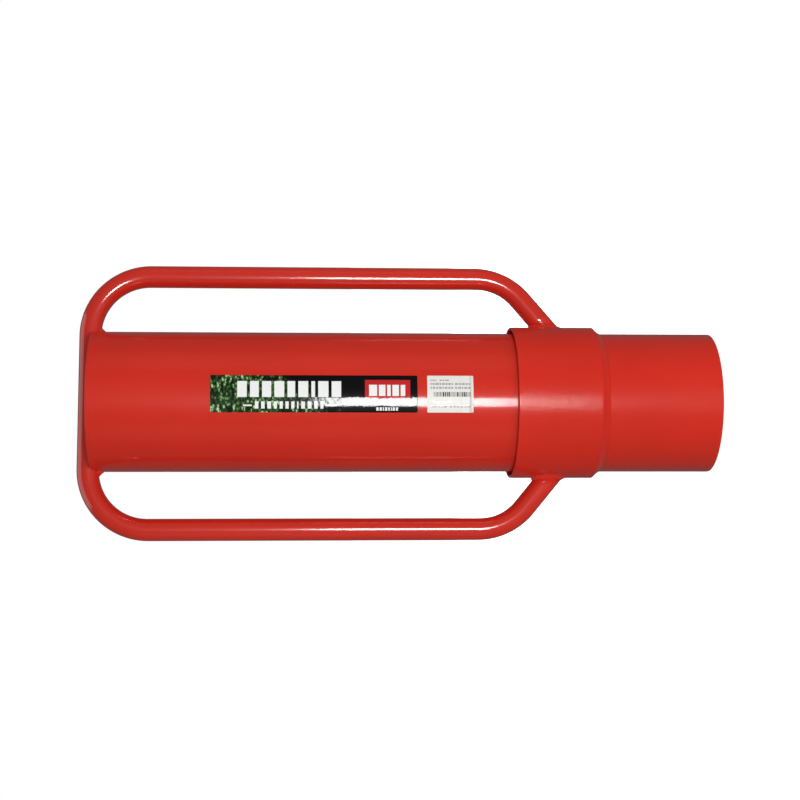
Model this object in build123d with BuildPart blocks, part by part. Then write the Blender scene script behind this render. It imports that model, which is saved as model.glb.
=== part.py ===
from build123d import *

import os
from math import cos, degrees, radians, sin, tan

# Hand post driver: a steel barrel, closed by a strike plate, that is slid over a post and dropped
# on it. One bent tube makes both side grips. It crosses the strike plate in two notches of the
# barrel's rim, runs down each side of the barrel and comes back in to a sleeve around the barrel, above the open mouth. All of it is
# welded.
#
# The driver stands on its mouth. The origin is the middle of the mouth, +Z runs up the barrel to
# the strike plate, the grips lie in the XZ plane and the labels face -Y. Lengths are millimetres.

# Barrel: 5 inch steel tube, open at the bottom.
BARREL_RADIUS = 139.7 / 2
BARREL_WALL = 4.0
BARREL_LENGTH = 621.0
BARREL_BORE = BARREL_RADIUS - BARREL_WALL
EDGE_BREAK = 0.8  # rounding of a sawn tube end

# Strike plate: a thick disc sunk into the barrel's top end, with a bevel for its weld.
PLATE_DEPTH = 9.0  # from the barrel's rim down to the plate's upper face
PLATE_TOP = BARREL_LENGTH - PLATE_DEPTH
PLATE_THICKNESS = 15.0
PLATE_CLEARANCE = 0.1
PLATE_BEVEL = 5.0
SEAT_STEP = 1.5  # the plate rests on a shoulder, in a seat turned wider than the bore
SEAT_RADIUS = BARREL_BORE + SEAT_STEP
PLATE_RADIUS = SEAT_RADIUS - PLATE_CLEARANCE
CAP_WELD_CROWN = 1.0  # height of the weld above the plate

# Handle frame: one 22 mm tube, every bend made on the same die.
TUBE_RADIUS = 11.0
TUBE_WALL = 2.0
BEND_RADIUS = 60.0
GRIP_OFFSET = 128.0  # from the barrel's axis to a grip's axis
LEG_ANGLE = 50.0  # between a leg and the barrel's axis
KNEE_HEIGHT = 208.0  # where a grip's axis and its leg's axis would cross
CROSSBAR_GAP = 0.1  # between the crossbar and the weld that it lies on
CROSSBAR_HEIGHT = PLATE_TOP + CAP_WELD_CROWN + CROSSBAR_GAP + TUBE_RADIUS
NOTCH_CLEARANCE = 0.1  # around the crossbar where it lies in the barrel's rim

# Sleeve around the barrel that carries the legs, with an open gap all round inside it.
SLEEVE_RADIUS = 152.4 / 2
SLEEVE_WALL = 2.5
SLEEVE_BOTTOM = 120.0
SLEEVE_LENGTH = 83.0
SLEEVE_EDGE = 0.5

# Weld beads.
SLEEVE_WELD_DROP = 8.0  # how far the bead reaches down the barrel below the sleeve
LEG_WELD = 5.0
CROSSBAR_WELD_REACH = 15.0  # bead's toe on the plate, from the crossbar's axis
CROSSBAR_WELD_ROOT = 3.0
CROSSBAR_WELD_LENGTH = 114.0
CROSSBAR_WELD_CLIMB = 20.0  # degrees below the tube's middle where the bead ends on the tube
RIM_WELD = 5.5
RIM_WELD_WIDTH = 13.0
RIM_WELD_START = 68.6  # inside the barrel's wall, which is cut away from the bead

# Labels, stuck on the front of the barrel.
LABEL_THICKNESS = 0.15
LABEL_GAP = 0.02
LABEL_HEIGHT = 36.5  # measured round the barrel
LABEL_CORNER = 1.0
LABEL_TURN = 2.5  # degrees that both labels sit round from the front, towards -X
PRODUCT_LABEL_BOTTOM = 301.5
PRODUCT_LABEL_LENGTH = 200.0
CODE_LABEL_BOTTOM = 247.0
CODE_LABEL_LENGTH = 45.0



def leg_point(x):
    """The point of the +X leg's axis at that x, on the straight stretch below the knee."""
    return Vector(x, 0, KNEE_HEIGHT - (GRIP_OFFSET - x) / tan(radians(LEG_ANGLE)))


# Barrel
with BuildPart() as barrel:
    with BuildSketch():
        Circle(BARREL_RADIUS)
        Circle(BARREL_BORE, mode=Mode.SUBTRACT)
    extrude(amount=BARREL_LENGTH)
    with BuildSketch(Plane.XY.offset(PLATE_TOP - PLATE_THICKNESS)):
        Circle(SEAT_RADIUS)
    extrude(amount=PLATE_THICKNESS + PLATE_DEPTH, mode=Mode.SUBTRACT)
    round_edges = barrel.edges().filter_by(GeomType.CIRCLE).group_by(Axis.Z)
    fillet(round_edges[0] + round_edges[-1], radius=EDGE_BREAK)
    with Locations(Location((0, 0, CROSSBAR_HEIGHT), (0, 90, 0))):
        Cylinder(TUBE_RADIUS + NOTCH_CLEARANCE, 3 * BARREL_RADIUS, mode=Mode.SUBTRACT)

# Strike plate
with BuildPart() as strike_plate:
    with BuildSketch(Plane.XY.offset(PLATE_TOP - PLATE_THICKNESS)):
        Circle(PLATE_RADIUS)
    extrude(amount=PLATE_THICKNESS)
    chamfer(strike_plate.edges().group_by(Axis.Z)[-1], length=PLATE_BEVEL)

# Weld that fills the groove between the plate's bevel and the barrel
with BuildPart() as cap_weld:
    with BuildSketch(Plane.XZ):
        with BuildLine():
            groove = Polyline(
                (PLATE_RADIUS - PLATE_BEVEL, PLATE_TOP),
                (PLATE_RADIUS, PLATE_TOP - PLATE_BEVEL),
                (SEAT_RADIUS, PLATE_TOP - PLATE_BEVEL),
                (SEAT_RADIUS, PLATE_TOP),
            )
            SagittaArc(groove @ 1, groove @ 0, CAP_WELD_CROWN)
        make_face()
    revolve(axis=Axis.Z)

# Handle frame, from the left leg's foot over the strike plate to the right leg's foot
foot = leg_point(SLEEVE_RADIUS - 2 * TUBE_RADIUS)
right_side = [
    (foot.X, foot.Z),
    (GRIP_OFFSET, KNEE_HEIGHT),
    (GRIP_OFFSET, CROSSBAR_HEIGHT),
]
left_side = [(-x, z) for x, z in reversed(right_side)]
with BuildPart() as handle_frame:
    with BuildLine(Plane.XZ) as frame_path:
        FilletPolyline(*right_side, *left_side, radius=BEND_RADIUS)
    with BuildSketch(frame_path.line ^ 0):
        Circle(TUBE_RADIUS)
        Circle(TUBE_RADIUS - TUBE_WALL, mode=Mode.SUBTRACT)
    sweep()
    with Locations((0, 0, SLEEVE_BOTTOM)):
        Cylinder(
            SLEEVE_RADIUS,
            SLEEVE_LENGTH,
            align=(Align.CENTER, Align.CENTER, Align.MIN),
            mode=Mode.SUBTRACT,
        )

# Sleeve
with BuildPart() as sleeve:
    with BuildSketch(Plane.XY.offset(SLEEVE_BOTTOM)):
        Circle(SLEEVE_RADIUS)
        Circle(SLEEVE_RADIUS - SLEEVE_WALL, mode=Mode.SUBTRACT)
    extrude(amount=SLEEVE_LENGTH)
    fillet(sleeve.edges().group_by(Axis.Z)[-1], radius=SLEEVE_EDGE)

# Weld that closes the sleeve's lower end onto the barrel
with BuildPart() as sleeve_weld:
    with BuildSketch(Plane.XZ):
        with BuildLine():
            corner = Polyline(
                (SLEEVE_RADIUS, SLEEVE_BOTTOM),
                (BARREL_RADIUS, SLEEVE_BOTTOM),
                (BARREL_RADIUS, SLEEVE_BOTTOM - SLEEVE_WELD_DROP),
            )
            SagittaArc(corner @ 1, corner @ 0, -CAP_WELD_CROWN)
        make_face()
    revolve(axis=Axis.Z)

# Bead around the right leg's foot: a skirt that widens onto the sleeve
leg_slant = sin(radians(LEG_ANGLE))
skirt_top = SLEEVE_RADIUS + LEG_WELD
skirt_bottom = SLEEVE_RADIUS - LEG_WELD / 2
with BuildPart() as leg_weld_right:
    for x, margin in ((skirt_bottom, LEG_WELD * 1.5), (skirt_top, 0.2)):
        centre = leg_point(x)
        with BuildSketch(Plane(origin=centre, x_dir=(0, 1, 0), z_dir=(1, 0, 0))):
            Ellipse(TUBE_RADIUS + margin, TUBE_RADIUS / leg_slant + margin)
    loft(ruled=True)
    with Locations((0, 0, SLEEVE_BOTTOM)):
        Cylinder(
            SLEEVE_RADIUS,
            SLEEVE_LENGTH,
            align=(Align.CENTER, Align.CENTER, Align.MIN),
            mode=Mode.SUBTRACT,
        )
    leg_axis = Vector(sin(radians(LEG_ANGLE)), 0, cos(radians(LEG_ANGLE)))
    with BuildSketch(Plane(origin=foot, z_dir=leg_axis)):
        Circle(TUBE_RADIUS)
    extrude(amount=6 * TUBE_RADIUS, mode=Mode.SUBTRACT)

with BuildPart() as leg_weld_left:
    mirror(leg_weld_right.part, about=Plane.YZ)

# Bead along the crossbar's front side, between the tube and the strike plate
climb = radians(180 + CROSSBAR_WELD_CLIMB)
bead_top = (TUBE_RADIUS * cos(climb), CROSSBAR_HEIGHT + TUBE_RADIUS * sin(climb))
with BuildPart() as crossbar_weld_front:
    with BuildSketch(Plane.YZ):
        with BuildLine():
            bead = Polyline(
                (-CROSSBAR_WELD_REACH, PLATE_TOP),
                (-CROSSBAR_WELD_ROOT, PLATE_TOP),
                (-CROSSBAR_WELD_ROOT, CROSSBAR_HEIGHT),
                bead_top,
            )
            SagittaArc(bead @ 1, bead @ 0, -CAP_WELD_CROWN)
        make_face()
        with Locations((0, CROSSBAR_HEIGHT)):
            Circle(TUBE_RADIUS, mode=Mode.SUBTRACT)
    extrude(amount=CROSSBAR_WELD_LENGTH / 2, both=True)

with BuildPart() as crossbar_weld_back:
    mirror(crossbar_weld_front.part, about=Plane.XZ)

# Bead where the frame leaves the right notch of the barrel's rim, under the tube
with BuildPart() as rim_weld_right:
    with BuildSketch(Plane.XZ):
        with BuildLine():
            Polyline(
                (RIM_WELD_START, CROSSBAR_HEIGHT),
                (BARREL_RADIUS + RIM_WELD, CROSSBAR_HEIGHT),
                (BARREL_RADIUS + RIM_WELD, PLATE_TOP),
                (BARREL_RADIUS, PLATE_TOP - RIM_WELD),
                (RIM_WELD_START, PLATE_TOP - RIM_WELD),
                close=True,
            )
        make_face()
    extrude(amount=RIM_WELD_WIDTH / 2, both=True)
    Cylinder(
        BARREL_RADIUS,
        BARREL_LENGTH,
        align=(Align.CENTER, Align.CENTER, Align.MIN),
        mode=Mode.SUBTRACT,
    )
    with BuildLine(Plane.XZ) as crossbar_path:
        FilletPolyline(*right_side, *left_side, radius=BEND_RADIUS)
    with BuildSketch(crossbar_path.line ^ 0):
        Circle(TUBE_RADIUS)
    sweep(mode=Mode.SUBTRACT)

with BuildPart() as rim_weld_left:
    mirror(rim_weld_right.part, about=Plane.YZ)

# Labels: thin sheets bent round the front of the barrel
label_half_turn = degrees(LABEL_HEIGHT / 2 / BARREL_RADIUS)
label_start = 270 - LABEL_TURN - label_half_turn
label_inner = BARREL_RADIUS + LABEL_GAP
with BuildSketch() as label_section:
    with BuildLine():
        near = CenterArc((0, 0), label_inner, label_start, 2 * label_half_turn)
        far = CenterArc((0, 0), label_inner + LABEL_THICKNESS, label_start, 2 * label_half_turn)
        Line(near @ 0, far @ 0)
        Line(near @ 1, far @ 1)
    make_face()

with BuildPart() as product_label:
    with BuildSketch(Plane.XY.offset(PRODUCT_LABEL_BOTTOM)):
        add(label_section.sketch)
    extrude(amount=PRODUCT_LABEL_LENGTH)
    sheet_edges = product_label.edges()
    fillet(sheet_edges.filter_by(lambda e: e.length < 2 * LABEL_THICKNESS), LABEL_CORNER)

with BuildPart() as code_label:
    with BuildSketch(Plane.XY.offset(CODE_LABEL_BOTTOM)):
        add(label_section.sketch)
    extrude(amount=CODE_LABEL_LENGTH)
    sheet_edges = code_label.edges()
    fillet(sheet_edges.filter_by(lambda e: e.length < 2 * LABEL_THICKNESS), LABEL_CORNER)


os.makedirs("parts", exist_ok=True)

barrel.part.label = "barrel"
export_step(barrel.part, "parts/barrel.step")

strike_plate.part.label = "strike_plate"
export_step(strike_plate.part, "parts/strike_plate.step")

cap_weld.part.label = "cap_weld"
export_step(cap_weld.part, "parts/cap_weld.step")

handle_frame.part.label = "handle_frame"
export_step(handle_frame.part, "parts/handle_frame.step")

sleeve.part.label = "sleeve"
export_step(sleeve.part, "parts/sleeve.step")

sleeve_weld.part.label = "sleeve_weld"
export_step(sleeve_weld.part, "parts/sleeve_weld.step")

leg_weld_right.part.label = "leg_weld_right"
export_step(leg_weld_right.part, "parts/leg_weld_right.step")

leg_weld_left.part.label = "leg_weld_left"
export_step(leg_weld_left.part, "parts/leg_weld_left.step")

crossbar_weld_front.part.label = "crossbar_weld_front"
export_step(crossbar_weld_front.part, "parts/crossbar_weld_front.step")

crossbar_weld_back.part.label = "crossbar_weld_back"
export_step(crossbar_weld_back.part, "parts/crossbar_weld_back.step")

rim_weld_right.part.label = "rim_weld_right"
export_step(rim_weld_right.part, "parts/rim_weld_right.step")

rim_weld_left.part.label = "rim_weld_left"
export_step(rim_weld_left.part, "parts/rim_weld_left.step")

product_label.part.label = "product_label"
export_step(product_label.part, "parts/product_label.step")

code_label.part.label = "code_label"
export_step(code_label.part, "parts/code_label.step")
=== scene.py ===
"""Looks of the hand post driver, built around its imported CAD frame.

The driver stands on its mouth: +Z runs up the barrel to the strike plate, the grips lie in the XZ
plane and the labels face -Y. Everything is in metres. Each CAD node is replaced by a finer mesh of
the same size: rounded tube ends, rippled weld beads and printed labels.
"""

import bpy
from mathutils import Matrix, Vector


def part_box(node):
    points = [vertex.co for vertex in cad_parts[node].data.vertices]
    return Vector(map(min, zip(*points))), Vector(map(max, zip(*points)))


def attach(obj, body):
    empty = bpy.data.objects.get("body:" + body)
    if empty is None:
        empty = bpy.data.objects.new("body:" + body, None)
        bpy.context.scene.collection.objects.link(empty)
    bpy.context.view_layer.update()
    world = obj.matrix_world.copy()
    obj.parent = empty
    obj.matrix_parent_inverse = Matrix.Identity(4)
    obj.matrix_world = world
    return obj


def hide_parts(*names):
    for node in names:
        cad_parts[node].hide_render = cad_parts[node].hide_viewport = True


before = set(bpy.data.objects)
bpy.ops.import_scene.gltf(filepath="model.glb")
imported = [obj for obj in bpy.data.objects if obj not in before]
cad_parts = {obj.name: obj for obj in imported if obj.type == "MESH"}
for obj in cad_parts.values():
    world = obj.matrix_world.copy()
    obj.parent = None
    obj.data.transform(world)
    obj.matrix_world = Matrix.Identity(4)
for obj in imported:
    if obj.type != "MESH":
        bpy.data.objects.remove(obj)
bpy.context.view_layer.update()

from math import acos, asin, ceil, cos, floor, hypot, pi, radians, sin, sqrt, tan

import bmesh
import bpy
from mathutils import Matrix, Vector, noise

MM = 0.001

# Sizes of the CAD model
BARREL_R = 69.85 * MM
BORE_R = 65.85 * MM
SEAT_R = 67.35 * MM
SLEEVE_R = 76.2 * MM
SLEEVE_BORE_R = 73.7 * MM
TUBE_R = 11.0 * MM
NOTCH_R = 11.1 * MM
BEND_R = 60.0 * MM
GRIP_X = 128.0 * MM
LEG_ANGLE = radians(50.0)
LABEL_R = 69.87 * MM
LABEL_T = 0.15 * MM
LABEL_TURN = radians(2.5)
LABEL_ARC = 36.5 * MM / (69.85 * MM)

BARREL_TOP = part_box("barrel")[1].z
PLATE_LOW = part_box("strike_plate")[0].z
PLATE_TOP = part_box("strike_plate")[1].z
SLEEVE_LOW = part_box("sleeve")[0].z
SLEEVE_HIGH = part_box("sleeve")[1].z
CROSSBAR_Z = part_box("handle_frame")[1].z - TUBE_R
KNEE_Z = 208.0 * MM
FOOT_X = SLEEVE_R - 2 * TUBE_R
FOOT_Z = KNEE_Z - (GRIP_X - FOOT_X) / tan(LEG_ANGLE)


# ---------------------------------------------------------------- materials


class Nodes:
    """Adds nodes to a material and links them."""

    def __init__(self, name):
        self.material = bpy.data.materials.new(name)
        self.material.use_nodes = True
        self.tree = self.material.node_tree
        self.shader = next(n for n in self.tree.nodes if n.type == "BSDF_PRINCIPLED")
        self.object = self.add("ShaderNodeTexCoord").outputs["Object"]

    def add(self, kind, inputs=(), **settings):
        node = self.tree.nodes.new(kind)
        for key, value in settings.items():
            setattr(node, key, value)
        for key, value in dict(inputs).items():
            self.put(node.inputs[key], value)
        return node

    def put(self, socket, value):
        if isinstance(value, bpy.types.NodeSocket):
            self.tree.links.new(value, socket)
        else:
            socket.default_value = value

    def noise(self, scale, detail=2.0, rough=0.5, vector=None, distortion=0.0):
        return self.add(
            "ShaderNodeTexNoise",
            {
                "Vector": vector or self.object,
                "Scale": scale,
                "Detail": detail,
                "Roughness": rough,
                "Distortion": distortion,
            },
        ).outputs["Fac"]

    def ramp(self, value, low, high, to_low=0.0, to_high=1.0):
        return self.add(
            "ShaderNodeMapRange",
            {"Value": value, "From Min": low, "From Max": high, "To Min": to_low, "To Max": to_high},
        ).outputs["Result"]

    def math(self, operation, a, b=0.0):
        node = self.add("ShaderNodeMath", operation=operation)
        self.put(node.inputs[0], a)
        self.put(node.inputs[1], b)
        return node.outputs[0]

    def mix(self, factor, a, b):
        node = self.add("ShaderNodeMix", data_type="RGBA")
        self.put(node.inputs[0], factor)
        self.put(node.inputs[6], a)
        self.put(node.inputs[7], b)
        return node.outputs[2]

    def bump(self, height, distance, strength=1.0, normal=None):
        inputs = {"Height": height, "Distance": distance, "Strength": strength}
        if normal is not None:
            inputs["Normal"] = normal
        return self.add("ShaderNodeBump", inputs).outputs["Normal"]

    def set(self, **values):
        for key, value in values.items():
            self.put(self.shader.inputs[key.replace("_", " ")], value)


def rgb(r, g, b):
    return (r, g, b, 1.0)


def enamel(name, base, peel, rough, grain=0.0, coat=1.0, coat_rough=0.12, wave=0.10, coat_ior=1.5):
    """Sprayed red enamel: a smooth coat over orange peel, with faint changes of shade and dust."""
    n = Nodes(name)
    shade = n.noise(9.0, 3.0)
    tone = tuple(c * 0.93 for c in base)
    colour = n.mix(n.ramp(shade, 0.35, 0.65), rgb(*tone), rgb(*base))
    dust = n.ramp(n.noise(900.0, 1.0), 0.74, 0.80, 0.0, 0.35)
    colour = n.mix(dust, colour, rgb(base[0] * 1.05, 0.09, 0.07))
    n.set(Base_Color=colour)
    n.set(Roughness=n.ramp(n.noise(40.0, 3.0), 0.3, 0.7, rough - 0.05, rough + 0.05))
    waves = n.bump(n.noise(22.0, 1.0), 0.0011, wave)
    orange_peel = n.bump(n.noise(330.0, 2.0), 0.0006, peel, waves)
    normal = orange_peel
    if grain:
        normal = n.bump(n.noise(520.0, 3.0, 0.65), 0.0006, grain, orange_peel)
    n.set(Normal=normal, Coat_Normal=normal)
    n.set(Coat_Weight=coat, Coat_Roughness=coat_rough, Coat_IOR=coat_ior)
    n.set(Specular_IOR_Level=0.15)
    return n.material


def bare_inside(name):
    """The barrel's inside: mill scale, with red overspray that fades away from the mouth."""
    n = Nodes(name)
    height = n.add("ShaderNodeSeparateXYZ", {"Vector": n.object}).outputs["Z"]
    mottled = n.math("ADD", height, n.ramp(n.noise(30.0, 4.0), 0.2, 0.8, -0.03, 0.03))
    depth = n.ramp(mottled, 0.015, 0.16)
    scale = n.ramp(n.noise(60.0, 5.0, 0.7), 0.35, 0.7)
    steel = n.mix(scale, rgb(0.035, 0.032, 0.033), rgb(0.085, 0.06, 0.05))
    n.set(Base_Color=n.mix(depth, rgb(0.33, 0.018, 0.012), steel))
    n.set(Roughness=n.ramp(depth, 0.0, 1.0, 0.45, 0.7))
    n.set(Normal=n.bump(n.noise(500.0, 3.0), 0.0006, 0.35))
    return n.material


def film(n):
    """The faint waviness of a label's clear film."""
    waves = n.bump(n.noise(45.0, 1.0), 0.0008, 0.14)
    normal = n.bump(n.noise(260.0, 2.0), 0.0004, 0.16, waves)
    n.set(Normal=normal, Coat_Normal=normal)


def ink(name, colour, rough=0.28):
    """Flat print on the labels, under their film."""
    n = Nodes(name)
    worn = n.ramp(n.noise(700.0, 2.0), 0.3, 0.75, 0.88, 1.0)
    dark = tuple(c * 0.8 for c in colour)
    n.set(Base_Color=n.mix(worn, rgb(*dark), rgb(*colour)))
    n.set(Roughness=rough, Coat_Weight=1.0, Coat_Roughness=0.06, Specular_IOR_Level=0.05)
    film(n)
    return n.material


def foliage(name, low, high):
    """The label's ground: lawn and leaves that fade to black from its top end down."""
    n = Nodes(name)
    leaf_space = n.add(
        "ShaderNodeMapping", {"Vector": n.object, "Rotation": (0.0, 0.6, 0.0), "Scale": (1.0, 0.3, 1.5)}
    ).outputs[0]
    leaves = n.add("ShaderNodeTexVoronoi", {"Vector": leaf_space, "Scale": 300.0, "Randomness": 1.0})
    cell = n.add("ShaderNodeSeparateColor", {"Color": leaves.outputs["Color"]}).outputs["Green"]
    blades = n.ramp(n.noise(190.0, 3.0, 0.65, leaf_space, 0.8), 0.36, 0.66)
    shaded = n.ramp(leaves.outputs["Distance"], 0.1, 0.8, 1.0, 0.35)
    both = n.math("ADD", n.math("MULTIPLY", cell, 0.55), n.math("MULTIPLY", blades, 0.6))
    lit = n.math("MULTIPLY", both, shaded)
    lit = n.math("MULTIPLY", lit, n.ramp(n.noise(80.0, 2.0), 0.35, 0.6, 0.55, 1.1))
    green = n.mix(n.ramp(lit, 0.16, 0.50), rgb(0.003, 0.010, 0.003), rgb(0.050, 0.150, 0.030))
    green = n.mix(n.ramp(lit, 0.46, 0.76), green, rgb(0.50, 0.68, 0.38))
    split = n.add("ShaderNodeSeparateXYZ", {"Vector": n.object})
    wander = n.ramp(n.noise(70.0, 3.0), 0.2, 0.8, -0.025, 0.025)
    along = n.math("ADD", split.outputs["Z"], wander)
    along = n.math("ADD", along, n.math("MULTIPLY", split.outputs["X"], -1.2))
    fade = n.ramp(along, low, high)
    n.set(Base_Color=n.mix(fade, rgb(0.0015, 0.0015, 0.002), green))
    n.set(Roughness=0.3, Coat_Weight=1.0, Coat_Roughness=0.06, Specular_IOR_Level=0.05)
    film(n)
    return n.material


def paper(name):
    """Uncoated white label stock."""
    n = Nodes(name)
    fibres = n.noise(1400.0, 3.0, 0.6)
    n.set(Base_Color=n.mix(n.ramp(fibres, 0.3, 0.7), rgb(0.72, 0.70, 0.66), rgb(0.80, 0.785, 0.75)))
    n.set(Roughness=0.45, Specular_IOR_Level=0.4, Coat_Weight=0.25, Coat_Roughness=0.3)
    n.set(Normal=n.bump(fibres, 0.0003, 0.15))
    return n.material


def stage_white(name):
    """Pale seamless paper for the floor, with a painted glow that brightens it into the white room around
    it; the glow is weaker near the driver, so the floor is darker there.
    """
    n = Nodes(name)
    tooth = n.noise(160.0, 3.0)
    n.set(Base_Color=n.mix(n.ramp(tooth, 0.3, 0.7), rgb(0.86, 0.86, 0.86), rgb(0.89, 0.89, 0.89)))
    n.set(Roughness=0.9, Specular_IOR_Level=0.1)
    # Painted glow: the floor gives off light of its own, 0.8 near the driver rising to 1.0 a metre away.
    away = n.add("ShaderNodeVectorMath", {0: n.object}, operation="LENGTH").outputs["Value"]
    n.set(Emission_Color=rgb(1.0, 1.0, 1.0), Emission_Strength=n.ramp(away, 0.2, 1.0, 0.80, 1.0))
    return n.material


RED = (0.63, 0.0225, 0.0100)
PAINT = enamel("red_enamel", RED, peel=0.06, rough=0.36)
TUBE_PAINT = enamel("red_enamel_tube", RED, peel=0.012, rough=0.34, coat_rough=0.12, wave=0.04, coat_ior=1.8)
SLEEVE_PAINT = enamel("red_enamel_dry", RED, peel=0.12, rough=0.42, grain=0.34, coat=0.62, coat_rough=0.12)
# The beads' paint is the red enamel made slightly brighter: painted light that lifts the beads, whose faces
# turn away from the lamps, to the brightness of the paint around them.
BRIGHTENED_WELD_PAINT = enamel("red_enamel_weld_brightened", (0.66, 0.0235, 0.0105), peel=0.12, rough=0.36, coat_rough=0.12)
INSIDE = bare_inside("inside_overspray")
LABEL_GROUND = foliage("label_ground", 0.400, 0.452)
INK_WHITE = ink("ink_white", (0.86, 0.87, 0.85))
INK_RED = ink("ink_red", (0.52, 0.018, 0.020))
PAPER = paper("label_paper")
INK_GREY = ink("ink_grey", (0.38, 0.38, 0.39), 0.6)
INK_BLACK = ink("ink_black", (0.03, 0.03, 0.032), 0.6)
FLOOR_WHITE = stage_white("floor_white")


# ---------------------------------------------------------------- meshes


def make(name, verts, faces, materials, marks=None):
    """A mesh object with outward normals. marks gives each face's material index."""
    mesh = bpy.data.meshes.new(name)
    mesh.from_pydata([tuple(v) for v in verts], [], faces)
    for material in materials:
        mesh.materials.append(material)
    if marks:
        mesh.polygons.foreach_set("material_index", marks)
    bm = bmesh.new()
    bm.from_mesh(mesh)
    bmesh.ops.recalc_face_normals(bm, faces=bm.faces)
    bm.to_mesh(mesh)
    bm.free()
    mesh.polygons.foreach_set("use_smooth", [True] * len(mesh.polygons))
    mesh.update()
    obj = bpy.data.objects.new(name, mesh)
    bpy.context.scene.collection.objects.link(obj)
    return obj


def settle(obj, slot, *nodes):
    """The piece stands for those CAD nodes and moves with the driver."""
    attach(obj, "root")
    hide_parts(*nodes)


def skin(rings, close_u=True, close_v=False, caps=False):
    """Faces between successive rings of points, and optional fans over the first and last ring."""
    count = len(rings[0])
    verts = [p for ring in rings for p in ring]
    faces = []
    for i in range(len(rings) if close_v else len(rings) - 1):
        a, b = i * count, (i + 1) % len(rings) * count
        for j in range(count if close_u else count - 1):
            k = (j + 1) % count
            faces.append((a + j, a + k, b + k, b + j))
    if caps:
        for start, ring in ((0, rings[0]), ((len(rings) - 1) * count, rings[-1])):
            middle = sum((Vector(p) for p in ring), Vector()) / count
            verts.append(middle)
            for j in range(count):
                faces.append((start + j, start + (j + 1) % count, len(verts) - 1))
    return verts, faces


def rounded(corners, hold=0.0012, arc_steps=5):
    """A closed profile of (r, z) points with each corner (r, z, radius) rounded, and a point just
    outside each rounding that keeps the straight stretches' shading straight."""
    out = []
    for i, (r, z, radius) in enumerate(corners):
        here = Vector((r, z))
        before = Vector(corners[i - 1][:2]) - here
        after = Vector(corners[(i + 1) % len(corners)][:2]) - here
        turn = before.angle(after)
        reach = radius / tan(turn / 2)
        a, b = before.normalized(), after.normalized()
        start, end = here + a * reach, here + b * reach
        centre = here + (a + b).normalized() * (radius / sin(turn / 2))
        if before.length > 4 * (hold + reach):
            out.append(start + a * hold)
        for k in range(arc_steps + 1):
            point = start.lerp(end, k / arc_steps)
            out.append(centre + (point - centre).normalized() * radius)
        if after.length > 4 * (hold + reach):
            out.append(end + b * hold)
    return [(p.x, p.y) for p in out]


def marked(verts, faces, bare):
    """Material index 1 for each face whose middle is bare, and 0 for the painted rest."""
    marks = []
    for face in faces:
        middle = sum((Vector(verts[i]) for i in face), Vector()) / len(face)
        marks.append(1 if bare(middle) else 0)
    return marks


def around(count):
    """Equal steps round a circle."""
    return [2 * pi * j / count for j in range(count)]


def lathe(profile, angles, height=None):
    """Rings of points around Z for each (r, z) of the profile. height(r, angle, z) changes a z."""
    rings = []
    for r, z in profile:
        ring = []
        for angle in angles:
            ring.append((r * cos(angle), r * sin(angle), height(r, angle, z) if height else z))
        rings.append(ring)
    return rings


def frame_path(step=0.004, arc_step=radians(1.0)):
    """Points and tangents of the bent tube's axis, from the left leg's foot to the right leg's."""
    right = [(FOOT_X, FOOT_Z), (GRIP_X, KNEE_Z), (GRIP_X, CROSSBAR_Z)]
    corners = [Vector((-x, z)) for x, z in right] + [Vector(p) for p in reversed(right)]
    path = []

    def run(a, b):
        steps = max(1, ceil((b - a).length / step))
        for k in range(steps):
            path.append((a.lerp(b, k / steps), (b - a).normalized(), 0.0))

    last = corners[0]
    for before, here, after in zip(corners, corners[1:], corners[2:]):
        a, b = (before - here).normalized(), (after - here).normalized()
        turn = pi - a.angle(b)
        reach = BEND_R * tan(turn / 2)
        start = here + a * reach
        centre = here + (a + b).normalized() * (BEND_R / cos(turn / 2))
        run(last, start)
        steps = ceil(turn / arc_step)
        sense = 1.0 if (-a).cross(b) > 0 else -1.0
        for k in range(steps):
            swing = Matrix.Rotation(sense * turn * k / steps, 2)
            bend = sin(pi * k / steps)
            path.append((centre + swing @ (start - centre), swing @ (-a), bend))
        last = here + b * reach
    run(last, corners[-1])
    path.append((corners[-1], (corners[-1] - last).normalized(), 0.0))
    return path


def cope(point, along, radius):
    """Where the line through the point meets the upright cylinder of that radius, on its way out."""
    a = along.x**2 + along.y**2
    b = point.x * along.x + point.y * along.y
    c = point.x**2 + point.y**2 - radius**2
    return point + along * ((-b + sqrt(b * b - a * c)) / a)


def bent_tube(count=96, ovality=0.025):
    """The handle frame. Its bends are a little oval, and its feet are coped into the sleeve."""
    rings = []
    for point, tangent, bend in frame_path():
        across = Vector((-tangent.y, tangent.x))
        ring = []
        for angle in around(count):
            flat = TUBE_R * (1 - ovality * bend) * cos(angle)
            wide = TUBE_R * (1 + 0.4 * ovality * bend) * sin(angle)
            ring.append(Vector((point.x + across.x * flat, wide, point.y + across.y * flat)))
        rings.append(ring)
    clear = SLEEVE_R + 2.0 * MM
    kept = [ring for ring in rings if ring[0].z > KNEE_Z or min(hypot(p.x, p.y) for p in ring) > clear]
    feet = []
    for end, inner in ((0, 1), (-1, -2)):
        outward = (rings[inner][0] - rings[end][0]).normalized()
        feet.append([cope(p, outward, SLEEVE_R - 1.2 * MM) for p in rings[end]])
    return [feet[0]] + kept + [feet[1]]


# ---------------------------------------------------------------- weld beads


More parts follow.
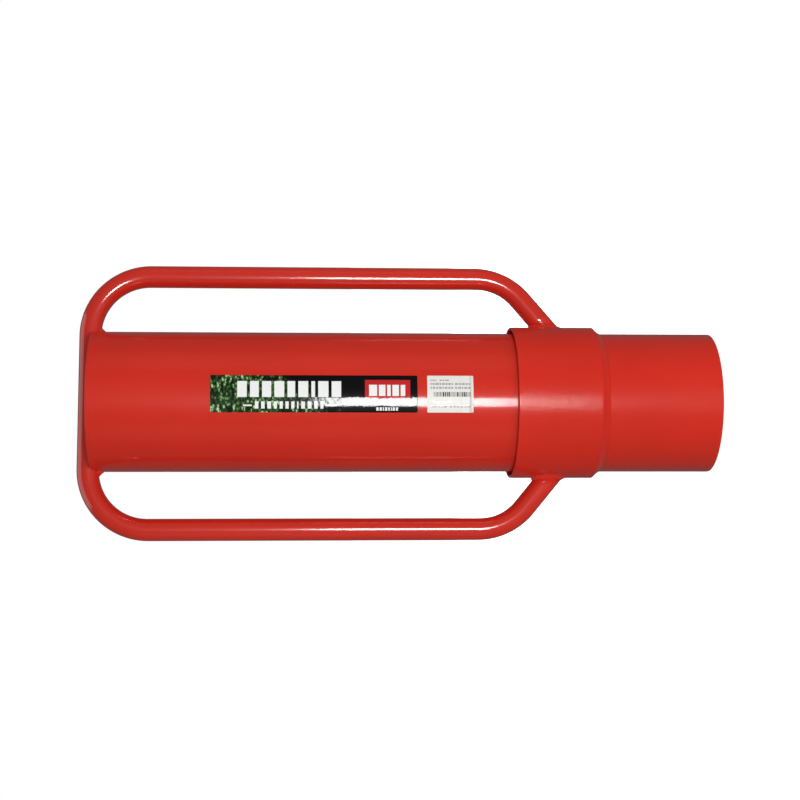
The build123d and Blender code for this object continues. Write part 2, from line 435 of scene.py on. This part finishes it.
def ripple(s, v, pitch, seed):
    """Height, 0 to 1, of a weld's ripples at a distance s along it and v across it, -1 to 1."""
    wander = 0.5 * noise.noise(Vector((s / pitch * 0.31, seed, 0.0)))
    phase = s / pitch + wander + 0.45 * v * v
    crest = abs(2 * (phase - floor(phase)) - 1)
    size = 0.75 + 0.5 * noise.noise(Vector((floor(phase) * 1.7, seed + 3.1, 0.5)))
    return (1 - crest**1.6) * size


def arc_between(a, b, out, bulge, steps):
    """Points from a to b on a curve that stands out by bulge in the direction out, with their v."""
    points = []
    for k in range(steps + 1):
        v = 2 * k / steps - 1
        points.append((a.lerp(b, k / steps) + out * (bulge * (1 - v * v)), v))
    return points


def bead_section(a, b, root, out, s, bulge, pitch, height, seed, steps=12):
    """One closed section of a bead: its rippled face from toe a to toe b, and its hidden root."""
    points = []
    for point, v in arc_between(a, b, out, bulge, steps):
        lift = height * ripple(s, v, pitch, seed) * (1 - v**4)
        points.append(point + out * lift)
    return points + [root]


def ring_bead(name, a, b, root, out, bulge, pitch, height, seed, mean_r, node):
    """A bead all round the barrel. a, b, root and out are (r, z)."""
    count = 900
    rings = []
    for angle in around(count):
        turn = Matrix(((cos(angle), 0.0), (sin(angle), 0.0), (0.0, 1.0)))
        s = angle * mean_r
        uneven = 1 + 0.12 * noise.noise(Vector((3 * cos(angle), 3 * sin(angle), seed)))
        section = bead_section(
            Vector(a), Vector(b), Vector(root), Vector(out), s, bulge * uneven, pitch, height, seed
        )
        rings.append([turn @ p for p in section])
    verts, faces = skin(rings, close_u=True, close_v=True)
    bead = make(name, verts, faces, [BRIGHTENED_WELD_PAINT])
    settle(bead, "weld_paint", node)


def leg_bead(side):
    """The bead round a leg's foot, from the tube's skin to the sleeve's."""
    axis = Vector((side * sin(LEG_ANGLE), 0.0, cos(LEG_ANGLE)))
    foot = Vector((side * FOOT_X, 0.0, FOOT_Z))
    e1 = Vector((0.0, 1.0, 0.0))
    e2 = axis.cross(e1)
    rings, s, last = [], 0.0, None
    for angle in around(240):
        normal = e1 * cos(angle) + e2 * sin(angle)
        meet = cope(foot + normal * TUBE_R, axis, SLEEVE_R)
        if last is not None:
            s += (meet - last).length
        last = meet
        sleeve_out = Vector((meet.x, meet.y, 0.0)).normalized()
        spread = (normal - sleeve_out * normal.dot(sleeve_out)).normalized()
        openness = acos(max(-1.0, min(1.0, spread.dot(axis))))
        leg_reach = (3.4 + 1.4 * (cos(openness) * 0.5 + 0.5)) * MM
        sleeve_reach = (4.4 + 0.5 * noise.noise(Vector((cos(angle), sin(angle), side)))) * MM
        a = meet + axis * leg_reach - normal * 0.15 * MM
        b = meet + spread * sleeve_reach
        flat = Vector((b.x, b.y, 0.0)).normalized() * (SLEEVE_R - 0.15 * MM)
        b = Vector((flat.x, flat.y, b.z))
        out = ((a + b) / 2 - meet).normalized()
        root = meet - (normal + sleeve_out).normalized() * 0.5 * MM
        rings.append(bead_section(a, b, root, out, s, -0.35 * MM, 3.1 * MM, 0.42 * MM, 7.0 + side))
    verts, faces = skin(rings, close_u=True, close_v=True)
    word = "right" if side > 0 else "left"
    bead = make(f"leg_bead_{word}", verts, faces, [BRIGHTENED_WELD_PAINT])
    settle(bead, "weld_paint", f"leg_weld_{word}")


def straight_bead(side):
    """The bead along the crossbar on the strike plate, with rounded ends. side is -1 at the front."""
    half, count, rings = 57.0 * MM, 340, []
    rounded_end = 5 * MM
    climb = radians(20.0)
    for j in range(count + 1):
        x = half * (2 * j / count - 1)
        taper = sqrt(max(0.0, 1 - max(0.0, (abs(x) - half + rounded_end) / rounded_end) ** 2))
        taper = max(0.12, taper)
        wander = 0.5 * MM * noise.noise(Vector((x * 60, side, 2.0)))
        toe = 10.0 * MM + (4.6 * MM + wander) * taper
        rise = pi + pi / 2 - (pi / 2 - climb) * taper
        a = Vector((x, side * toe, PLATE_TOP - 0.05 * MM))
        b = Vector((x, side * -TUBE_R * cos(rise) * 0.99, CROSSBAR_Z + TUBE_R * sin(rise) * 0.99))
        root = Vector((x, side * 5.0 * MM, PLATE_TOP - 0.05 * MM))
        out = Vector((0.0, side * 0.62, 0.78))
        bulge, height = 0.5 * MM * taper, 0.45 * MM * taper
        rings.append(bead_section(a, b, root, out, x, bulge, 3.4 * MM, height, 11 + side))
    verts, faces = skin(rings, close_u=True, caps=True)
    word = "front" if side < 0 else "back"
    bead = make(f"crossbar_bead_{word}", verts, faces, [BRIGHTENED_WELD_PAINT])
    settle(bead, "weld_paint", f"crossbar_weld_{word}")


def rim_bead(side):
    """The short fillet under the tube where it leaves its notch in the barrel's rim."""
    half, count, rings = 6.5 * MM, 40, []
    for j in range(count + 1):
        y = half * (2 * j / count - 1)
        taper = max(0.15, sqrt(max(0.0, 1 - (y / half) ** 2)))
        rim_x = sqrt(BARREL_R**2 - y * y)
        reach = 5.2 * MM * taper
        x = rim_x + reach
        under = BEND_R - sqrt(TUBE_R**2 - y * y)
        bend_z = CROSSBAR_Z - BEND_R
        tube_z = bend_z + sqrt(under**2 - max(0.0, x - (GRIP_X - BEND_R)) ** 2)
        a = Vector((side * (rim_x - 0.1 * MM), y, PLATE_TOP - reach))
        b = Vector((side * x, y, tube_z + 0.1 * MM))
        root_z = bend_z + sqrt(under**2 - max(0.0, rim_x - 1 * MM - (GRIP_X - BEND_R)) ** 2)
        root = Vector((side * (rim_x - 0.5 * MM), y, min(root_z, PLATE_TOP + 0.9 * MM)))
        out = Vector((side * 0.707, 0.0, -0.707))
        bulge, height = -0.5 * MM * taper, 0.35 * MM * taper
        rings.append(bead_section(a, b, root, out, y, bulge, 3.0 * MM, height, 17 + side))
    verts, faces = skin(rings, close_u=True, caps=True)
    word = "right" if side > 0 else "left"
    bead = make(f"rim_bead_{word}", verts, faces, [BRIGHTENED_WELD_PAINT])
    settle(bead, "weld_paint", f"rim_weld_{word}")


# ---------------------------------------------------------------- steelwork

ROUND = 256

barrel_profile = rounded(
    [
        (BARREL_R, 0.0, 0.9 * MM),
        (BARREL_R, BARREL_TOP, 0.9 * MM),
        (SEAT_R, BARREL_TOP, 0.8 * MM),
        (SEAT_R, PLATE_LOW, 0.15 * MM),
        (BORE_R, PLATE_LOW, 0.15 * MM),
        (BORE_R, 0.0, 0.9 * MM),
    ]
)


def notched(r, angle, z):
    """Lowers the barrel's rim into the two notches that the crossbar lies in."""
    y, base = r * sin(angle), PLATE_TOP - 6 * MM
    if abs(y) >= NOTCH_R or z < base:
        return z
    top = min(BARREL_TOP, CROSSBAR_Z - sqrt(NOTCH_R**2 - y * y))
    return base + (z - base) * (top - base) / (BARREL_TOP - base)


# Columns of points that crowd towards each notch's two edges
HALF_NOTCH_STEPS = 22
rim_angles = set(around(ROUND))
lip = sqrt(NOTCH_R**2 - (CROSSBAR_Z - BARREL_TOP) ** 2)
for k in range(-HALF_NOTCH_STEPS, HALF_NOTCH_STEPS + 1):
    step = asin(lip / BARREL_R * sin(k / HALF_NOTCH_STEPS * pi / 2))
    rim_angles |= {step % (2 * pi), pi + step}
verts, faces = skin(lathe(barrel_profile, sorted(rim_angles), notched), close_v=True)
marks = marked(verts, faces, lambda p: hypot(p.x, p.y) < BORE_R + 0.3 * MM and p.z > 0.9 * MM)
settle(make("barrel_tube", verts, faces, [PAINT, INSIDE], marks), "red_paint", "barrel")

plate_profile = rounded(
    [
        (0.0, PLATE_LOW, 0.0),
        (SEAT_R - 0.1 * MM, PLATE_LOW, 0.3 * MM),
        (SEAT_R - 0.1 * MM, PLATE_TOP - 5.0 * MM, 0.3 * MM),
        (SEAT_R - 5.1 * MM, PLATE_TOP, 0.3 * MM),
        (0.0, PLATE_TOP, 0.0),
    ]
)
rings = lathe([p for p in plate_profile if p[0] > 2 * MM], around(ROUND))
verts, faces = skin(rings, caps=True)
marks = marked(verts, faces, lambda p: p.z < PLATE_LOW + 1.0 * MM)
settle(make("strike_disc", verts, faces, [PAINT, INSIDE], marks), "red_paint", "strike_plate")

sleeve_profile = rounded(
    [
        (SLEEVE_R, SLEEVE_LOW, 0.6 * MM),
        (SLEEVE_R, SLEEVE_HIGH, 0.7 * MM),
        (SLEEVE_BORE_R, SLEEVE_HIGH, 0.6 * MM),
        (SLEEVE_BORE_R, SLEEVE_LOW, 0.3 * MM),
    ],
    arc_steps=6,
)
verts, faces = skin(lathe(sleeve_profile, around(ROUND)), close_v=True)
settle(make("sleeve_ring", verts, faces, [SLEEVE_PAINT]), "red_paint", "sleeve")

verts, faces = skin(bent_tube(), caps=True)
settle(make("handle_tube", verts, faces, [TUBE_PAINT]), "red_paint", "handle_frame")

ring_bead(
    "cap_bead",
    a=(SEAT_R - 5.3 * MM, PLATE_TOP - 0.05 * MM),
    b=(SEAT_R + 0.1 * MM, PLATE_TOP + 0.4 * MM),
    root=(SEAT_R - 1.5 * MM, PLATE_TOP - 3.0 * MM),
    out=(0.0, 1.0),
    bulge=0.45 * MM,
    pitch=3.6 * MM,
    height=0.5 * MM,
    seed=1.0,
    mean_r=65.0 * MM,
    node="cap_weld",
)
ring_bead(
    "sleeve_bead",
    a=(BARREL_R - 0.1 * MM, SLEEVE_LOW - 7.9 * MM),
    b=(SLEEVE_R - 0.25 * MM, SLEEVE_LOW + 0.2 * MM),
    root=(BARREL_R - 0.1 * MM, SLEEVE_LOW + 1.0 * MM),
    out=(0.78, -0.62),
    bulge=-0.55 * MM,
    pitch=3.3 * MM,
    height=0.18 * MM,
    seed=5.0,
    mean_r=72.0 * MM,
    node="sleeve_weld",
)
for side in (-1, 1):
    leg_bead(side)
    straight_bead(side)
    rim_bead(side)


# ---------------------------------------------------------------- labels


def marks_between(edges, low, high, gap):
    """Extra grid lines so that no cell is wider than gap."""
    lines = sorted({low, high, *edges})
    out = []
    for a, b in zip(lines, lines[1:]):
        steps = max(1, ceil((b - a) / gap - 1e-9))
        out += [a + (b - a) * k / steps for k in range(steps)]
    return out + [high]


def printed_sheet(name, node, slot, materials, patches, corner=1.0 * MM):
    """A curved label as one closed sheet. patches are (u0, u1, v0, v1, material index) in fractions
    of its length, from its top end down, and of its arc, from its +X edge round to its -X edge."""
    low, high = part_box(node)
    length, arc = high.z - low.z, LABEL_ARC * BARREL_R
    us = {e for p in patches for e in p[:2]}
    vs = {e for p in patches for e in p[2:4]}
    corner_steps = 3
    for k in range(1, corner_steps + 1):
        us |= {corner * k / corner_steps / length, 1 - corner * k / corner_steps / length}
        vs |= {corner * k / corner_steps / arc, 1 - corner * k / corner_steps / arc}
    us = marks_between(us, 0.0, 1.0, 6.0 * MM / length)
    vs = marks_between(vs, 0.0, 1.0, 1.2 * MM / arc)

    def place(u, v, radius):
        x, y = u * length, v * arc
        cx = min(max(x, corner), length - corner)
        cy = min(max(y, corner), arc - corner)
        dx, dy = x - cx, y - cy
        if dx and dy:
            pull = max(abs(dx), abs(dy)) / hypot(dx, dy)
            x, y = cx + dx * pull, cy + dy * pull
        angle = radians(270) - LABEL_TURN + LABEL_ARC / 2 - y / BARREL_R
        return (radius * cos(angle), radius * sin(angle), high.z - x)

    verts, faces, marks = [], [], []
    for radius in (LABEL_R + LABEL_T, LABEL_R):
        verts += [place(u, v, radius) for u in us for v in vs]
    nu, nv = len(us), len(vs)
    back = nu * nv
    for i in range(nu - 1):
        for j in range(nv - 1):
            a = i * nv + j
            faces.append((a, a + 1, a + nv + 1, a + nv))
            faces.append((back + a, back + a + nv, back + a + nv + 1, back + a + 1))
            u, v = (us[i] + us[i + 1]) / 2, (vs[j] + vs[j + 1]) / 2
            hit = [p[4] for p in patches if p[0] < u < p[1] and p[2] < v < p[3]]
            marks += [hit[-1] if hit else 0, 0]
    rim = [i * nv for i in range(nu)]
    rim += [(nu - 1) * nv + j for j in range(1, nv)]
    rim += [i * nv + nv - 1 for i in range(nu - 2, -1, -1)]
    rim += list(range(nv - 2, 0, -1))
    for a, b in zip(rim, rim[1:] + rim[:1]):
        faces.append((a, b, back + b, back + a))
        marks.append(0)
    sheet = make(name, verts, faces, materials, marks)
    settle(sheet, slot, node)


def word(u0, u1, v0, v1, widths, gap, material):
    """A row of plain blocks that stands for a line of print."""
    total = sum(widths) + gap * (len(widths) - 1)
    unit = (u1 - u0) / total
    out, u = [], u0
    for width in widths:
        out.append((u, u + width * unit, v0, v1, material))
        u += (width + gap) * unit
    return out


label_print = []
label_print += word(0.13, 0.63, 0.165, 0.595, (5.2, 4.8, 5.0, 5.4, 4.2, 5.4, 2.0, 5.6, 5.2), 1.7, 1)
label_print += word(0.158, 0.20, 0.795, 0.835, (1,), 0.0, 1)
label_print += word(0.215, 0.545, 0.71, 0.90, (2, 2, 2.2, 1.8, 1.8, 1.8, 1.8, 0.8, 2.2, 2.2, 2, 1.8), 1.5, 1)
label_print += word(0.56, 0.61, 0.795, 0.835, (1,), 0.0, 1)
label_print += [(0.745, 0.965, 0.125, 0.625, 2)]
label_print += word(0.765, 0.94, 0.26, 0.56, (3.2, 2.6, 1.4, 2.6, 1.8), 0.7, 1)
label_print += word(0.80, 0.905, 0.86, 0.95, (1.2, 1.2, 0.6, 1.1, 0.8, 0.5, 1.1, 1.1), 0.5, 1)
label_inks = [LABEL_GROUND, INK_WHITE, INK_RED]
printed_sheet("product_sticker", "product_label", "label_film", label_inks, label_print)

code_print = []
code_print += word(0.07, 0.20, 0.11, 0.15, (2, 3, 2), 0.8, 1)
code_print += word(0.27, 0.47, 0.11, 0.15, (3, 2, 4), 0.7, 1)
code_print += word(0.07, 0.56, 0.205, 0.26, (2, 3, 5, 3, 4, 3, 4, 2), 1.1, 1)
code_print += word(0.60, 0.93, 0.205, 0.26, (4, 3, 4, 3, 2), 1.1, 1)
code_print += word(0.07, 0.56, 0.31, 0.365, (2, 4, 3, 4, 2, 4, 3, 3), 1.1, 1)
code_print += word(0.60, 0.93, 0.31, 0.365, (3, 4, 2, 4, 3), 1.1, 1)
BARS = (1, 1, 1, 2, 1, 1, 2, 1, 4, 3, 3, 4, 1, 1, 1, 2, 1, 1, 4, 1, 1, 1, 3, 4, 2, 1, 1, 2)
code_print += word(0.14, 0.93, 0.45, 0.575, BARS, 1.7, 2)
code_print += word(0.14, 0.55, 0.69, 0.735, (3, 4, 2, 5, 3, 2), 1.1, 1)
code_print += word(0.10, 0.42, 0.80, 0.86, (2, 3, 4, 2, 4), 1.1, 1)
code_print += word(0.48, 0.93, 0.80, 0.86, (4, 3, 4, 4, 3, 4), 1.1, 1)
printed_sheet("barcode_sticker", "code_label", "label_paper", [PAPER, INK_GREY, INK_BLACK], code_print)


# ---------------------------------------------------------------- stage


def area_light(name, place, aim, width, height, watts, glossy=True):
    """A soft rectangular light that faces the aim, its height along Z."""
    light = bpy.data.lights.new(name, "AREA")
    light.shape = "RECTANGLE"
    light.size, light.size_y, light.energy = width, height, watts
    obj = bpy.data.objects.new(name, light)
    obj.location = place
    obj.rotation_mode = "QUATERNION"
    obj.rotation_quaternion = (Vector(aim) - Vector(place)).to_track_quat("-Z", "Y")
    obj.visible_glossy = glossy
    obj.visible_camera = False
    bpy.context.scene.collection.objects.link(obj)
    return obj


def plain_floor(half=9.0):
    """The pale floor, which only the camera sees: it throws no light or reflection on the driver."""
    verts = [(-half, -half, 0.0), (half, -half, 0.0), (half, half, 0.0), (-half, half, 0.0)]
    floor = make("floor", verts, [(0, 1, 2, 3)], [FLOOR_WHITE])
    floor.visible_glossy = floor.visible_diffuse = floor.visible_shadow = False


def surroundings():
    """A white room as the camera sees it, and a dimmer one as the object is lit by it."""
    world = bpy.data.worlds.new("studio")
    bpy.context.scene.world = world
    world.use_nodes = True
    tree = world.node_tree
    tree.nodes.clear()

    def white(strength):
        node = tree.nodes.new("ShaderNodeBackground")
        node.inputs["Color"].default_value = rgb(1.0, 1.0, 1.0)
        node.inputs["Strength"].default_value = strength
        return node

    seen, lit, mirrored = white(1.0), white(0.19), white(0.10)
    rays = tree.nodes.new("ShaderNodeLightPath")
    out = tree.nodes.new("ShaderNodeOutputWorld")
    unseen = tree.nodes.new("ShaderNodeMixShader")
    tree.links.new(rays.outputs["Is Glossy Ray"], unseen.inputs[0])
    tree.links.new(lit.outputs[0], unseen.inputs[1])
    tree.links.new(mirrored.outputs[0], unseen.inputs[2])
    mix = tree.nodes.new("ShaderNodeMixShader")
    tree.links.new(rays.outputs["Is Camera Ray"], mix.inputs[0])
    tree.links.new(unseen.outputs[0], mix.inputs[1])
    tree.links.new(seen.outputs[0], mix.inputs[2])
    tree.links.new(mix.outputs[0], out.inputs[0])


def catalogue_camera():
    """The catalogue view: the driver lies across the picture, its mouth to the right."""
    place = (-0.28287, -1.69759, 0.43137)
    camera = bpy.data.cameras.new("camera")
    camera.sensor_width = 36.0
    camera.lens = 76.98
    camera.clip_start, camera.clip_end = 0.1, 60.0
    forward = Vector((0.16543, 0.98386, -0.06815)).normalized()
    upward = Vector((0.98618, -0.16566, 0.00228))
    right = forward.cross(upward).normalized()
    upward = right.cross(forward)
    turn = Matrix((right, upward, -forward)).transposed().to_4x4()
    obj = bpy.data.objects.new("camera", camera)
    obj.matrix_world = Matrix.Translation(place) @ turn
    bpy.context.scene.collection.objects.link(obj)
    bpy.context.scene.camera = obj


plain_floor()
surroundings()
catalogue_camera()
area_light("key", (-0.27, -1.75, 0.165), (-0.10, 0.0, 0.165), 0.40, 0.38, 11.5)
area_light("front_fill", (0.20, -1.9, 0.55), (0.0, 0.0, 0.40), 1.4, 1.0, 3.0, glossy=False)
area_light("low_fill", (-0.10, -1.5, -0.9), (0.0, 0.0, 0.20), 1.2, 1.2, 10.5, glossy=False)
area_light("side_up", (1.7, -1.0, 0.35), (0.0, 0.0, 0.33), 1.0, 1.0, 10.0, glossy=False)
area_light("side_down", (-1.7, -1.0, 0.35), (0.0, 0.0, 0.33), 1.0, 1.0, 8.0, glossy=False)
area_light("overhead", (0.0, 0.2, 2.6), (0.0, 0.0, 0.3), 2.2, 2.2, 10.0)
area_light("back", (0.0, 2.4, 1.0), (0.0, 0.0, 0.33), 1.6, 1.4, 36.0, glossy=False)
bpy.context.scene.view_settings.view_transform = "Standard"
